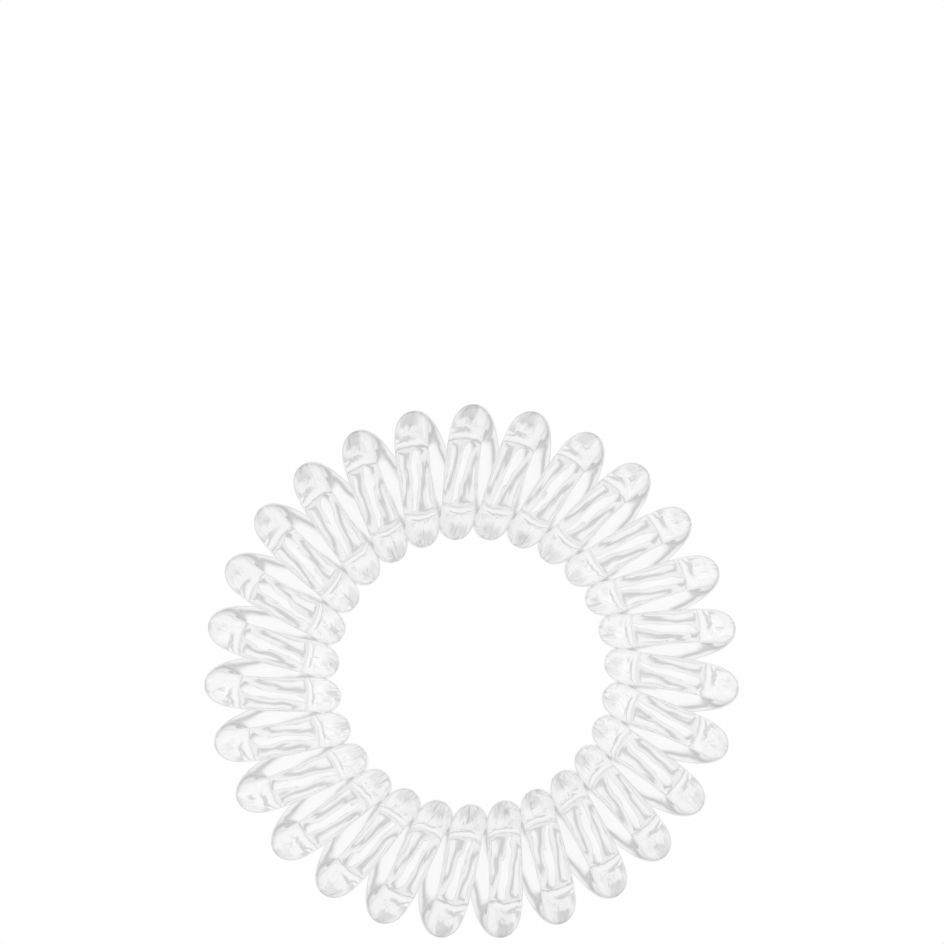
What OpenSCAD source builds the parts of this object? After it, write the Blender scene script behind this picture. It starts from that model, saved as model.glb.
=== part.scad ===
// Spiral hair tie: one endless cord of clear elastomer, wound as a coil that closes into a ring.
// The ring lies flat on its side, with its axis along Z, its lowest points at Z = 0 and one
// turn's outer tip on the +Y axis.

/* [Cord] */
// Diameter of the cord
cord_d = 2.4; // [1.5:0.1:3.4]
// Clearance between neighbouring turns, which crowd together round the ring's inside
turn_gap = 0.05; // [0.02:0.01:1]

/* [Coil] */
// Width of the coil that the cord is wound into, from the ring's inside to its outside
coil_w = 9.7; // [7:0.1:16]
// Height of the coil as the ring lies, which its own softness flattens a little
coil_h = 8.3; // [7:0.1:12]
// Number of turns in the ring
turns = 27; // [20:1:36]

/* [Smoothness] */
// Sides round the cord
cord_sides = 12; // [8:1:14]
// Cross-sections along each turn, a multiple of four so that some stand at its top and bottom
turn_steps = 16; // [12:4:24]

/* [Hidden] */

// Reach and rise of the winding, from the coil's core line to the cord's centre
wind_reach = (coil_w - cord_d) / 2;
wind_rise = (coil_h - cord_d) / 2;
// Spacing of the turns round the ring's inside: a close-wound coil's pitch, which the gap widens
lay_width = cord_d + turn_gap;
inner_pitch = lay_width / sqrt(1 - pow(lay_width / (2 * PI * wind_rise), 2));
// Radius of the ring at the coil's core line
ring_r = turns * inner_pitch / (2 * PI) + wind_reach;
// Ring angle of the first outer tip
tip_angle = 90;

// Point of the cord's centre line after a winding angle, in degrees along the coil.
// The cord leaves an outer tip upwards and gains one turn's share of the ring each time round.
function core_point(wind) =
    let (around = tip_angle + wind / turns, reach = ring_r + wind_reach * cos(wind))
    [reach * cos(around), reach * sin(around), coil_h / 2 + wind_rise * sin(wind)];

// Unit vector along the cord there
function core_direction(wind) =
    let (around = tip_angle + wind / turns,
         reach = ring_r + wind_reach * cos(wind),
         out_speed = -wind_reach * sin(wind),
         side_speed = reach / turns,
         v = [out_speed * cos(around) - side_speed * sin(around),
              out_speed * sin(around) + side_speed * cos(around),
              wind_rise * cos(wind)])
    v / norm(v);

// Unit vector out of the coil there, square to the oval of the winding and so to the cord
function core_outward(wind) =
    let (around = tip_angle + wind / turns,
         out = wind_rise * cos(wind),
         v = [out * cos(around), out * sin(around), wind_reach * sin(wind)])
    v / norm(v);

// Ring of points round the cord after a winding angle
function cord_section(wind) =
    let (middle = core_point(wind),
         outward = core_outward(wind),
         across = cross(core_direction(wind), outward))
    [for (side = [0 : cord_sides - 1])
        let (a = 360 * side / cord_sides)
        middle + cord_d / 2 * (outward * cos(a) + across * sin(a))];

// The cord: one closed tube that runs through every turn and back into its own start
module coil() {
    sections = turns * turn_steps;
    points = [for (i = [0 : sections - 1]) each cord_section(360 * i / turn_steps)];
    faces = [for (i = [0 : sections - 1], side = [0 : cord_sides - 1])
        let (here = i * cord_sides,
             next = (i + 1) % sections * cord_sides,
             turned = (side + 1) % cord_sides)
        [here + side, here + turned, next + turned, next + side]];
    color("whitesmoke", 0.5) polyhedron(points, faces, convexity = 10);
}

coil();
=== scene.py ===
"""Spiral hair tie: one endless clear cord, wound as a coil that closes into a ring."""
import math

import bpy
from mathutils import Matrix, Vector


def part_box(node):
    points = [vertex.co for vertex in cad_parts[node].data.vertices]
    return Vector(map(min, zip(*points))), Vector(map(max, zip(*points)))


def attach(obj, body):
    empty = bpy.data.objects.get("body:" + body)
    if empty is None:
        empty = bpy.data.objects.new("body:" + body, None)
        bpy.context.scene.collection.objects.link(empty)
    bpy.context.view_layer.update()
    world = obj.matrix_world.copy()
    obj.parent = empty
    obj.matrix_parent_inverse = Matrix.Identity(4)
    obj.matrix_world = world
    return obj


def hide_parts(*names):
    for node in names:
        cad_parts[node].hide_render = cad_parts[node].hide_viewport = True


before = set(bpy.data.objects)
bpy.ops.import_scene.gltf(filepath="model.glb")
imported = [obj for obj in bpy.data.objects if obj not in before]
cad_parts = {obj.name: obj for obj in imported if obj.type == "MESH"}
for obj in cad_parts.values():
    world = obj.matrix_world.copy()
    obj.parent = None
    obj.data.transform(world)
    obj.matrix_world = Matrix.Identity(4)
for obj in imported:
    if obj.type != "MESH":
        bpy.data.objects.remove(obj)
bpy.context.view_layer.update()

# One millimetre, in metres
MM = 0.001

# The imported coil's place and size
LOW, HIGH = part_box("coil")
GROUND = LOW[2]
MIDDLE = (LOW[2] + HIGH[2]) / 2
COIL_HEIGHT = HIGH[2] - LOW[2]
RING_REACH = HIGH[1]

# The winding, as in the part's source, and the cord's length along its middle
TURNS = 27
COIL_WIDTH = 9.7 * MM
CORD_LENGTH = 569 * MM

# The cord's thickness along the ring, and out of the coil, where it is a little more
CORD_ACROSS = 2.43 * MM
CORD_DEEP = 2.6 * MM

# How much fuller than an oval a turn is at its four corners, and how much higher in its outer half
FULLNESS = 0.021
SHOULDER = 0.1

# The turns lean and shift a little along the ring: how far, in radians, the radius of the circle in
# smooth noise that gives this, the shift's share of it, and where in the noise the shift is read
SWAY = 0.02
DRIFT_RADIUS = 3.0
SHIFT_SHARE = 0.5
SHIFT_SPOT = 7.0
SEED = 4.0

# Fineness of the cord's mesh: sections in a turn, sides round the cord, the small winding angle that
# the cord's direction is taken over, and the widest gap that its seams are closed over
STEPS = 96
SIDES = 36
NUDGE = 0.01
SEAM = 0.001 * MM

# The map of the cord: its length runs along U and its girth along V
CORD_MAP = "cord_map"

# The elastomer's refractive index, the share of light that it lets through, how much painted shade
# darkens that at its outline, and how narrow this painted dark outline is
ELASTOMER_IOR = 1.463
CLEARNESS = 0.975
EDGE_SHADE = 0.47
EDGE_POWER = 4

# Ripples drawn out along the cord, as width and length, and the share of the fine ones
BROAD_RIPPLE = (0.6 * MM, 1.3 * MM)
FINE_RIPPLE = (0.28 * MM, 1.5 * MM)
FINE_SHARE = 0.3

# Height of the ripples, and its share at a turn's tips and in the strands between them
RIPPLE_HEIGHT = 0.11 * MM
TIP_RIPPLE = 0.2
STRAND_RIPPLE = 0.92

# Soft patches of painted shade beside the outer and inner tips: their middle and reach in a turn's winding,
# which starts at an outer tip, their shade, and the share of it that is lost to the left and right
OUTER_PAINTED_SHADE = {"middle": math.radians(22), "reach": math.radians(19), "shade": 0.48, "eased": 0.75}
INNER_PAINTED_SHADE = {"middle": math.radians(160), "reach": math.radians(24), "shade": 0.3, "eased": 0.4}

# How far a patch reaches round the cord, and the cosine past which it has its full shade
PATCH_GIRTH = math.radians(42)
PATCH_FULL = 0.97

# Blots drawn out along the cord, as width and length, and how much they fray a patch's borders
BLOT = (0.3 * MM, 1.2 * MM)
FRAY_LENGTHWISE = 0.045
FRAY_SIDEWISE = 0.25

# Roughness of the dullest blots, and the levels of the noise between which it sets in
DULLEST = 0.03
DULL_FROM = 0.45
DULL_FULL = 0.75

# The elastomer's inner haze: its density per metre, the level of the painted glow that stands in for
# trapped light, and how much brighter this painted light is in the turns to the left and right of the ring,
# about an axis at this angle
HAZE = 48.0
GLOW_LEVEL = 1.0
GLOW_SWING = 0.06
SIDE_AXIS = math.radians(10)

# The clear sheet that the tie lies on, and the pale floor and the light table below it
SHEET_IOR = 1.3
FLOOR_DROP = 0.3
FLOOR_HALF = 3.0

# Brightness of the light table by the angle off the plumb line, as a share of a quarter turn
TABLE_LEVELS = [
    (0.0, 1.0), (0.15, 1.0), (0.195, 0.93), (0.235, 0.76), (0.275, 0.55), (0.32, 0.53), (0.365, 0.78),
    (0.42, 0.94), (0.52, 0.96), (0.7, 0.94), (0.82, 0.88), (0.92, 0.7), (1.0, 0.55)]

# Brightness of the sky by the sine of the height above the horizon, and how much more comes from the
# left and right than from in front and behind
SKY_LEVELS = [
    (0.0, 0.55), (0.07, 0.7), (0.15, 0.95), (0.3, 0.9), (0.5, 0.8), (0.7, 0.76), (0.8, 0.45),
    (0.87, 0.3), (0.94, 0.6), (1.0, 0.95)]
SKY_SWING = 0.1

# The photograph's frame, in pixels, with the ring's centre and outer radius in it, and its roll
FRAME_PX = 944
CENTRE_PX = (471.7, 671.75)
REACH_PX = 268.0
PIXEL = RING_REACH / REACH_PX
ROLL = math.radians(0.36)

# The camera, straight above the ring: height over the coil's middle, and range, in metres, and the
# sensor's width in millimetres
CAMERA_HEIGHT = 1.1
NEAREST = 0.1
FARTHEST = 10.0
SENSOR_WIDTH = 36.0

# The coil traps light, which is followed for this many bounces
LIGHT_BOUNCES = 32


class Value:
    """One socket of a node tree; the usual operators on it add Math nodes."""

    def __init__(self, tree, socket):
        self.tree = tree
        self.socket = socket

    def math(self, operation, *others):
        return self.tree.math(operation, self, *others)

    def __add__(self, other):
        return self.math("ADD", other)

    __radd__ = __add__

    def __mul__(self, other):
        return self.math("MULTIPLY", other)

    __rmul__ = __mul__

    def __sub__(self, other):
        return self.math("SUBTRACT", other)

    def __rsub__(self, other):
        return self.tree.math("SUBTRACT", other, self)

    def __truediv__(self, other):
        return self.math("DIVIDE", other)

    def __neg__(self):
        return self.math("MULTIPLY", -1)

    def cos(self):
        return self.math("COSINE")

    def sin(self):
        return self.math("SINE")

    def root(self):
        return self.math("SQRT")


class Node:
    """A node, for its output sockets."""

    def __init__(self, tree, node):
        self.tree = tree
        self.node = node

    def out(self, name=0):
        return Value(self.tree, find_socket(self.node.outputs, name))


class Tree:
    """A node tree that grows by expressions on values and by single nodes."""

    def __init__(self, group):
        self.nodes = group.nodes
        self.links = group.links

    def add(self, kind, settings=None, inputs=None):
        """Adds a node. Its settings are set first, then the values or links of its sockets."""
        node = self.nodes.new(kind)
        for name, value in (settings or {}).items():
            if name == "stops":
                set_stops(node.color_ramp, value)
            else:
                setattr(node, name, value)
        for name, value in (inputs or {}).items():
            socket = find_socket(node.inputs, name)
            if isinstance(value, Value):
                self.links.new(value.socket, socket)
            else:
                socket.default_value = value
        return Node(self, node)

    def math(self, operation, *values):
        return self.add("ShaderNodeMath", {"operation": operation}, dict(enumerate(values))).out()

    def split(self, vector):
        """The three numbers of a vector."""
        parts = self.add("ShaderNodeSeparateXYZ", inputs={"Vector": vector})
        return [parts.out(axis) for axis in "XYZ"]

    def join(self, x, y, z):
        """The vector of three numbers."""
        return self.add("ShaderNodeCombineXYZ", inputs={"X": x, "Y": y, "Z": z}).out()

    def noise(self, spot, depth):
        """Smooth noise from 0 to 1 at a place in four dimensions, with grains of about one unit."""
        return self.add("ShaderNodeTexNoise", {"noise_dimensions": "4D"}, {
            "Vector": spot, "W": depth, "Scale": 1.0, "Detail": 0.0}).out()

    def rise(self, value, low, high):
        """Rises smoothly from 0 to 1 as the value goes from low to high."""
        return self.add("ShaderNodeMapRange", {"interpolation_type": "SMOOTHSTEP"}, {
            "Value": value, "From Min": low, "From Max": high}).out()

    def mix(self, share, first, second):
        """A surface or a haze between two others."""
        return self.add("ShaderNodeMixShader", inputs={0: share, 1: first, 2: second}).out()


def find_socket(sockets, name):
    """The socket in use of that name or number."""
    if isinstance(name, int):
        return sockets[name]
    return next(socket for socket in sockets if socket.name == name and socket.enabled)


def set_stops(ramp, stops):
    """Gives a ramp its stops, each a place and a level of grey."""
    ramp.interpolation = "B_SPLINE"
    while len(ramp.elements) < len(stops):
        ramp.elements.new(0.5)
    for element, (place, level) in zip(ramp.elements, stops):
        element.position = place
        element.color = (level, level, level, 1)


def empty_tree(owner):
    """The node tree of a material or a sky, emptied."""
    owner.use_nodes = True
    owner.node_tree.nodes.clear()
    return Tree(owner.node_tree)


def winding_tree():
    """The cord's surface: a sheet of quads that is rolled round the cord and wound round the ring."""
    group = bpy.data.node_groups.new("coil winding", "GeometryNodeTree")
    tree = Tree(group)
    inputs = {
        "Turns": "NodeSocketInt", "Steps": "NodeSocketInt", "Sides": "NodeSocketInt",
        "Reach": "NodeSocketFloat", "Middle": "NodeSocketFloat",
        "Width": "NodeSocketFloat", "Height": "NodeSocketFloat",
        "Cord Deep": "NodeSocketFloat", "Cord Across": "NodeSocketFloat",
        "Fullness": "NodeSocketFloat", "Shoulder": "NodeSocketFloat",
        "Sway": "NodeSocketFloat", "Seed": "NodeSocketFloat", "Material": "NodeSocketMaterial",
    }
    for name, kind in inputs.items():
        group.interface.new_socket(name, in_out="INPUT", socket_type=kind)
    group.interface.new_socket("Mesh", in_out="OUTPUT", socket_type="NodeSocketGeometry")
    given = tree.add("NodeGroupInput")
    turns, reach, middle, width, height, deep, across, fullness, shoulder, sway = (
        given.out(name) for name in ("Turns", "Reach", "Middle", "Width", "Height", "Cord Deep",
                                     "Cord Across", "Fullness", "Shoulder", "Sway"))

    sheet = tree.add("GeometryNodeMeshGrid", inputs={
        "Size X": 1.0, "Size Y": 1.0,
        "Vertices X": turns * given.out("Steps") + 1, "Vertices Y": given.out("Sides") + 1})
    u, v, _ = tree.split(tree.add("GeometryNodeInputPosition").out())
    wind = (u + 0.5) * turns * math.tau
    side = (0.5 - v) * math.tau

    # How far the corners and the shoulder raise a turn's top, by its curve there
    peak = 1 + shoulder * shoulder / (2 - 32 * fullness)
    half_width = (width - deep) / 2
    half_height = (height - deep) / 2 / peak
    ring = reach - deep / 2 - half_width

    def drift(ring_share, offset):
        """A slow drift round the ring, which closes on itself."""
        spot = tree.join(ring_share.cos() * DRIFT_RADIUS, ring_share.sin() * DRIFT_RADIUS, offset)
        return tree.noise(spot, given.out("Seed")) - 0.5

    def cord_middle(turned):
        """Distance from the ring's axis, height and ring angle of the cord's middle."""
        ring_share = turned / turns
        outer_share = 0.5 + 0.5 * turned.cos()
        full = 1 + fullness * (1 - (turned * 4).cos())
        out = ring + half_width * full * turned.cos()
        up = middle + half_height * full * turned.sin() * (1 + shoulder * turned.cos())
        lean = sway * outer_share * drift(ring_share, 0.0)
        shift = sway * SHIFT_SHARE * drift(ring_share, SHIFT_SPOT)
        return out, up, ring_share + math.pi / 2 + lean + shift

    # The cord's direction, from its middle just behind and just ahead
    out, up, angle = cord_middle(wind)
    out_ahead, up_ahead, angle_ahead = cord_middle(wind + NUDGE)
    out_behind, up_behind, angle_behind = cord_middle(wind - NUDGE)
    run_out = out_ahead - out_behind
    run_up = up_ahead - up_behind
    run_round = (angle_ahead - angle_behind) * out
    flat = (run_out * run_out + run_up * run_up).root()
    run = (flat * flat + run_round * run_round).root()

    # The section's own axes: out of the coil, and across both that and the cord
    face_out = run_up / flat
    face_up = -run_out / flat
    across_out = run_round * face_up / run
    across_up = -run_round * face_out / run
    across_round = (run_up * face_out - run_out * face_up) / run
    deep_part = side.cos() * deep / 2
    side_part = side.sin() * across / 2
    spot_out = out + face_out * deep_part + across_out * side_part
    spot_up = up + face_up * deep_part + across_up * side_part
    spot_round = across_round * side_part
    x = spot_out * angle.cos() - spot_round * angle.sin()
    y = spot_out * angle.sin() + spot_round * angle.cos()

    mapped = tree.add("GeometryNodeStoreNamedAttribute", {"data_type": "FLOAT2", "domain": "CORNER"}, {
        "Geometry": sheet.out("Mesh"), "Name": CORD_MAP, "Value": sheet.out("UV Map")})
    placed = tree.add("GeometryNodeSetPosition", inputs={
        "Geometry": mapped.out("Geometry"), "Position": tree.join(x, y, spot_up)})
    closed = tree.add("GeometryNodeMergeByDistance", inputs={
        "Geometry": placed.out("Geometry"), "Distance": SEAM})
    smooth = tree.add("GeometryNodeSetShadeSmooth", inputs={"Geometry": closed.out("Geometry")})
    real = tree.add("GeometryNodeRealizeInstances", inputs={"Geometry": smooth.out("Geometry")})
    finished = tree.add("GeometryNodeSetMaterial", inputs={
        "Geometry": real.out("Geometry"), "Material": given.out("Material")})
    tree.add("NodeGroupOutput", inputs={"Mesh": finished.out("Geometry")})
    return group


def make_coil(material):
    """The wound cord as one plain mesh."""
    holder = bpy.data.objects.new("winding", bpy.data.meshes.new("winding"))
    bpy.context.scene.collection.objects.link(holder)
    modifier = holder.modifiers.new("winding", "NODES")
    modifier.node_group = winding_tree()
    values = {
        "Turns": TURNS, "Steps": STEPS, "Sides": SIDES,
        "Reach": RING_REACH, "Middle": MIDDLE, "Width": COIL_WIDTH, "Height": COIL_HEIGHT,
        "Cord Deep": CORD_DEEP, "Cord Across": CORD_ACROSS,
        "Fullness": FULLNESS, "Shoulder": SHOULDER,
        "Sway": SWAY, "Seed": SEED, "Material": material,
    }
    for socket in modifier.node_group.interface.items_tree:
        if socket.in_out == "INPUT":
            modifier[socket.identifier] = values[socket.name]
    ready = holder.evaluated_get(bpy.context.evaluated_depsgraph_get())
    mesh = bpy.data.meshes.new_from_object(ready)
    bpy.data.objects.remove(holder)
    # The sheet of quads brings an empty material slot, which comes first
    mesh.materials.pop(index=0)
    mesh.name = "cord_coil"
    coil = bpy.data.objects.new("cord_coil", mesh)
    bpy.context.scene.collection.objects.link(coil)
    return coil


def haze(tree, level):
    """A haze that takes its share of the light and gives back its own level as a painted glow."""
    dim = tree.add("ShaderNodeVolumeAbsorption", inputs={"Color": (0, 0, 0, 1), "Density": HAZE})
    painted_glow = tree.add("ShaderNodeEmission", inputs={"Color": (level, level, level, 1), "Strength": HAZE})
    return tree.add("ShaderNodeAddShader", inputs={0: dim.out(), 1: painted_glow.out()}).out()


def clear_elastomer():
    """Clear soft elastomer: glossy and colourless, with a faint inner haze that dims light and gives back a
    painted glow for the light trapped in its turns, and painted shade at its outline and by its tips.
    """
    material = bpy.data.materials.new("clear_elastomer")
    tree = empty_tree(material)
    u, v, _ = tree.split(tree.add("ShaderNodeUVMap", {"uv_map": CORD_MAP}).out())
    along = u * math.tau
    around = v * math.tau
    wind = along * TURNS

    def drawn(width, length):
        """Noise in streaks of that width and length along the cord, which closes on itself both ways."""
        girth = CORD_ACROSS / 2 / width
        loop = CORD_LENGTH / math.tau / length
        spot = tree.join(around.cos() * girth, around.sin() * girth, along.cos() * loop)
        return tree.noise(spot, along.sin() * loop)

    # The ripples are weakest at the tips of each turn
    mean = (STRAND_RIPPLE + TIP_RIPPLE) / 2
    swing = (STRAND_RIPPLE - TIP_RIPPLE) / 2
    strength = mean - (wind * 2).cos() * swing
    ripple = (drawn(*BROAD_RIPPLE) + drawn(*FINE_RIPPLE) * FINE_SHARE) * strength
    relief = tree.add("ShaderNodeBump", inputs={
        "Height": ripple, "Strength": 1.0, "Distance": RIPPLE_HEIGHT})

    # From 0 in the turns in front and behind to 1 in those to the left and right
    x, y, _ = tree.split(tree.add("ShaderNodeTexCoord").out("Object"))
    sideways = (x * x - y * y) * math.cos(2 * SIDE_AXIS) + x * y * (2 * math.sin(2 * SIDE_AXIS))
    side_share = sideways / (x * x + y * y) * 0.5 + 0.5
    blot = drawn(*BLOT)

    def painted_shade_patch(middle, reach, shade, eased):
        """A soft patch of painted shade with frayed borders on each turn's outward side, about that place
        of its winding.
        """
        lengthwise = (wind - middle).cos() + (blot - 0.5) * FRAY_LENGTHWISE
        sidewise = around.cos() + (blot - 0.5) * FRAY_SIDEWISE
        return (tree.rise(lengthwise, math.cos(reach), PATCH_FULL)
                * tree.rise(sidewise, math.cos(PATCH_GIRTH), PATCH_FULL)
                * (1 - side_share * eased) * shade)

    # Painted shade: the colour darkens towards the cord's outline as seen, for the dark rim that bent light
    # gives, and the painted shade patches by the tips add to it
    slant = tree.add("ShaderNodeLayerWeight", inputs={"Blend": 0.5}).out("Facing")
    painted_outline_shade = slant.math("POWER", EDGE_POWER) * EDGE_SHADE
    shade = painted_outline_shade.math("MAXIMUM", painted_shade_patch(**OUTER_PAINTED_SHADE) + painted_shade_patch(**INNER_PAINTED_SHADE))
    surface = tree.add("ShaderNodeBsdfPrincipled", {"distribution": "GGX"}, {
        "Base Color": CLEARNESS - shade, "Roughness": tree.rise(blot, DULL_FROM, DULL_FULL) * DULLEST,
        "IOR": ELASTOMER_IOR, "Transmission Weight": 1.0, "Normal": relief.out()})
    # Painted glow in the cord's body, in place of trapped light, brighter in the turns to the left and
    # right
    body = tree.mix(side_share, haze(tree, GLOW_LEVEL - GLOW_SWING), haze(tree, GLOW_LEVEL + GLOW_SWING))
    tree.add("ShaderNodeOutputMaterial", inputs={"Surface": surface.out("BSDF"), "Volume": body})
    return material


def sheet_surface():
    """Thin clear sheet: light goes straight through, less what its gloss throws back."""
    material = bpy.data.materials.new("clear_sheet")
    tree = empty_tree(material)
    through = tree.add("ShaderNodeBsdfTransparent")
    gloss = tree.add("ShaderNodeBsdfAnisotropic", inputs={"Roughness": 0.0})
    share = tree.add("ShaderNodeFresnel", inputs={"IOR": SHEET_IOR})
    surface = tree.mix(share.out(), through.out(), gloss.out())
    tree.add("ShaderNodeOutputMaterial", inputs={"Surface": surface})
    return material


def floor_surface():
    """Plain pale floor, lit evenly."""
    material = bpy.data.materials.new("pale_floor")
    tree = empty_tree(material)
    glow = tree.add("ShaderNodeEmission", inputs={"Color": (1, 1, 1, 1), "Strength": 1.0})
    tree.add("ShaderNodeOutputMaterial", inputs={"Surface": glow.out()})
    return material


def table_surface():
    """Light table, brightest under the tie, with a dimmer ring about it."""
    material = bpy.data.materials.new("light_table")
    # No path is aimed at it, because the cord bends them all
    material.cycles.emission_sampling = "NONE"
    tree = empty_tree(material)
    x, y, _ = tree.split(tree.add("ShaderNodeTexCoord").out("Object"))
    away = (x * x + y * y).root() / FLOOR_DROP
    place = away.math("ARCTANGENT") * (2 / math.pi)
    level = tree.add("ShaderNodeValToRGB", {"stops": TABLE_LEVELS}, {0: place})
    glow = tree.add("ShaderNodeEmission", inputs={"Color": level.out("Color"), "Strength": 1.0})
    tree.add("ShaderNodeOutputMaterial", inputs={"Surface": glow.out()})
    return material


def lay_plane(name, height, material):
    """A wide level plane of the stage."""
    corners = [(x * FLOOR_HALF, y * FLOOR_HALF, height) for x, y in ((-1, -1), (1, -1), (1, 1), (-1, 1))]
    mesh = bpy.data.meshes.new(name)
    mesh.from_pydata(corners, [], [(0, 1, 2, 3)])
    mesh.materials.append(material)
    plane = bpy.data.objects.new(name, mesh)
    bpy.context.scene.collection.objects.link(plane)
    return plane


def make_stage():
    """The clear sheet under the tie, the pale floor that the camera sees through it, and in the
    floor's place the light table, which shows only in the cord and in the gloss."""
    lay_plane("clear_sheet", GROUND, sheet_surface())
    pale_floor = lay_plane("pale_floor", GROUND - FLOOR_DROP, floor_surface())
    pale_floor.visible_transmission = False
    pale_floor.visible_glossy = False
    pale_floor.visible_diffuse = False
    light_table = lay_plane("light_table", GROUND - FLOOR_DROP, table_surface())
    light_table.visible_camera = False


def make_world():
    """Soft studio light from all round, a little stronger from the left and right."""
    world = bpy.data.worlds.new("soft_studio")
    bpy.context.scene.world = world
    # No path is aimed at it either
    world.cycles.sampling_method = "NONE"
    tree = empty_tree(world)
    x, y, z = tree.split(tree.add("ShaderNodeTexCoord").out("Generated"))
    level = tree.add("ShaderNodeValToRGB", {"stops": SKY_LEVELS}, {0: z})
    swung = level.out("Color") + (x * x - y * y) * SKY_SWING
    glow = tree.add("ShaderNodeBackground", inputs={"Color": swung, "Strength": 1.0})
    tree.add("ShaderNodeOutputWorld", inputs={"Surface": glow.out()})


def make_camera():
    """A camera straight above, framed as the photograph is."""
    camera = bpy.data.objects.new("camera", bpy.data.cameras.new("camera"))
    bpy.context.scene.collection.objects.link(camera)
    right = (FRAME_PX / 2 - CENTRE_PX[0]) * PIXEL
    up = (CENTRE_PX[1] - FRAME_PX / 2) * PIXEL
    camera.location = (right * math.cos(ROLL) - up * math.sin(ROLL),
                       right * math.sin(ROLL) + up * math.cos(ROLL),
                       MIDDLE + CAMERA_HEIGHT)
    camera.rotation_euler = (0, 0, ROLL)
    camera.data.sensor_width = SENSOR_WIDTH
    camera.data.lens = SENSOR_WIDTH * CAMERA_HEIGHT / (FRAME_PX * PIXEL)
    camera.data.clip_start = NEAREST
    camera.data.clip_end = FARTHEST
    bpy.context.scene.camera = camera


def set_light_paths(scene):
    """Follows light deep into the coil. Paths that ended early by chance would speckle the tips."""
    scene.cycles.max_bounces = LIGHT_BOUNCES
    scene.cycles.min_light_bounces = LIGHT_BOUNCES
    scene.cycles.transmission_bounces = LIGHT_BOUNCES
    scene.cycles.glossy_bounces = LIGHT_BOUNCES


make_camera()
make_world()
make_stage()
set_light_paths(bpy.context.scene)
bpy.context.scene.view_settings.view_transform = "Standard"

coil = make_coil(clear_elastomer())
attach(coil, "root")
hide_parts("coil")
